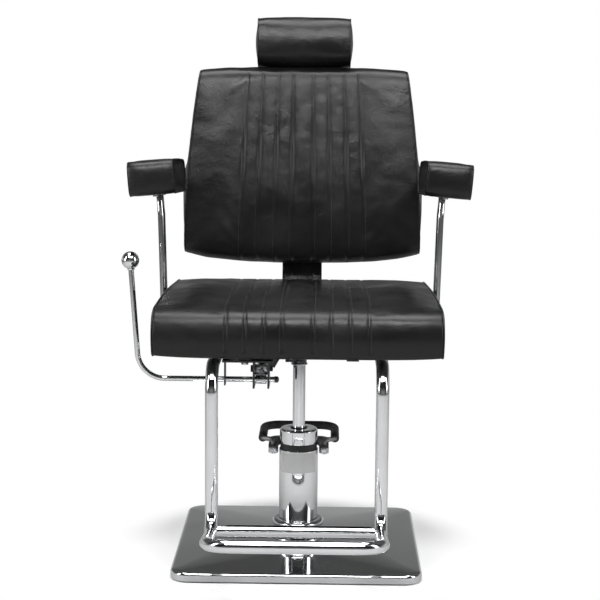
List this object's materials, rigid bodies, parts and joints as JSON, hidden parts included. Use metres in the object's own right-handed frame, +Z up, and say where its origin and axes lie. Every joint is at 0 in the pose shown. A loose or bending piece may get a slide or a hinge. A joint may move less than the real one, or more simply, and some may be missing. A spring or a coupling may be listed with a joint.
{
  "type": "hydraulic barber chair",
  "caption": "Swivelling barber chair with a pedal-pumped lift column, reclining padded back, sliding headrest, fixed arms and a tubular footrest",
  "frame": {"origin": "on the floor under the axis of the pump, which is the middle of the square base", "axes": "+Z up; the sitter faces -Y; +X is on the sitter's left, and the recline lever is on -X"},
  "size_m": [0.7068, 0.8513, 1.1178],
  "materials": {
    "chrome": "polished",
    "leatherette": "semi-gloss, creased",
    "black_steel": "semi-gloss",
    "zinc_steel": "zinc plated",
    "grey_steel": "satin",
    "cast_iron": "rough cast",
    "ballast": "mill scale",
    "rubber": "matte",
    "bronze": "machined",
    "plate": "satin film",
    "plywood": "raw",
    "gas_black": "gloss"
  },
  "bodies": {
    "base": {"base_mat": "rubber", "ballast_plate": "ballast", "base_cover": "chrome", "pump_body": "cast_iron", "pump_screws": "zinc_steel", "pump_sleeve": "chrome", "pump_collar": "chrome", "pump_plate": "plate", "seal_band": "rubber", "pump_cap": "chrome", "rod_bush": "bronze", "wiper_ring": "rubber", "valve_block": "cast_iron", "pedal_pin": "zinc_steel"},
    "pedal": {"pedal_yoke": "black_steel", "pedal_rod": "grey_steel", "pedal_grip": "rubber", "pedal_nuts": "zinc_steel"},
    "plunger": {"pump_plunger": "zinc_steel"},
    "ram": {"ram": "chrome", "piston": "cast_iron", "thrust_bearing": "zinc_steel"},
    "seat": {"seat_hub": "black_steel", "swivel_screw": "black_steel", "seat_plate": "black_steel", "seat_rails": "black_steel", "frame_bolts": "zinc_steel", "seat_board": "plywood", "seat_cushion": "leatherette", "footrest_tube": "chrome", "footrest_crossbar": "chrome", "footrest_clamps": "black_steel", "arm_post_left": "chrome", "arm_post_right": "chrome", "arm_plates": "black_steel", "arm_screws": "zinc_steel", "arm_cores": "plywood", "arm_pad_left": "leatherette", "arm_pad_right": "leatherette", "lever_bracket": "black_steel", "hinge_ears": "black_steel", "hinge_pin": "zinc_steel", "gas_head": "zinc_steel", "gas_head_bolt": "zinc_steel", "gas_cylinder": "gas_black"},
    "lever": {"lever_rod": "chrome", "lever_ball": "chrome", "lever_cam": "zinc_steel", "lever_stud": "chrome"},
    "release_pin": {"release_pin": "zinc_steel"},
    "backrest": {"back_bar": "black_steel", "gas_pin": "zinc_steel", "back_board": "plywood", "back_panel": "leatherette", "back_bolts": "zinc_steel", "back_cushion": "leatherette", "headrest_guide": "zinc_steel"},
    "gas_rod": {"gas_rod": "zinc_steel"},
    "headrest": {"headrest_post": "zinc_steel", "headrest_cushion": "leatherette"}
  },
  "joints": [
    {"name": "lift", "type": "slide", "parent": "base", "child": "ram", "axis": [0, 0, 1], "range_m": [-0.03, 0.11]},
    {"name": "swivel", "type": "hinge", "parent": "ram", "child": "seat", "pos_m": [0, 0, 0.4], "axis": [0, 0, 1], "continuous": true},
    {"name": "recline", "type": "hinge", "parent": "seat", "child": "backrest", "pos_m": [0, 0.205, 0.43], "axis": [-1, 0, 0], "range_deg": [0, 35]},
    {"name": "gas_slide", "type": "slide", "parent": "seat", "child": "gas_rod", "axis": [0, -1, 0], "range_m": [0, 0.0256]},
    {"name": "headrest_slide", "type": "slide", "parent": "backrest", "child": "headrest", "axis": [0, 0.2079, 0.9781], "range_m": [0, 0.09]},
    {"name": "lever_turn", "type": "hinge", "parent": "seat", "child": "lever", "pos_m": [0, -0.06, 0.373], "axis": [-1, 0, 0], "range_deg": [0, 20], "stiffness_Nm_per_rad": 2.5, "springref_deg": -20.05},
    {"name": "release_slide", "type": "slide", "parent": "seat", "child": "release_pin", "axis": [0, 1, 0], "range_m": [0, 0.0075]},
    {"name": "pedal_rock", "type": "hinge", "parent": "base", "child": "pedal", "pos_m": [0, 0.05, 0.214], "axis": [-1, 0, 0], "range_deg": [0, 20], "stiffness_Nm_per_rad": 5, "springref_deg": -28.65},
    {"name": "plunger_slide", "type": "slide", "parent": "base", "child": "plunger", "axis": [0, 0, -1], "range_m": [0, 0.0098]}
  ],
  "couplings": [
    {"joint": "gas_slide", "follows": "recline", "m_per_rad": 0.04135},
    {"joint": "release_slide", "follows": "lever_turn", "m_per_rad": 0.021},
    {"joint": "plunger_slide", "follows": "pedal_rock", "m_per_rad": 0.0275}
  ]
}
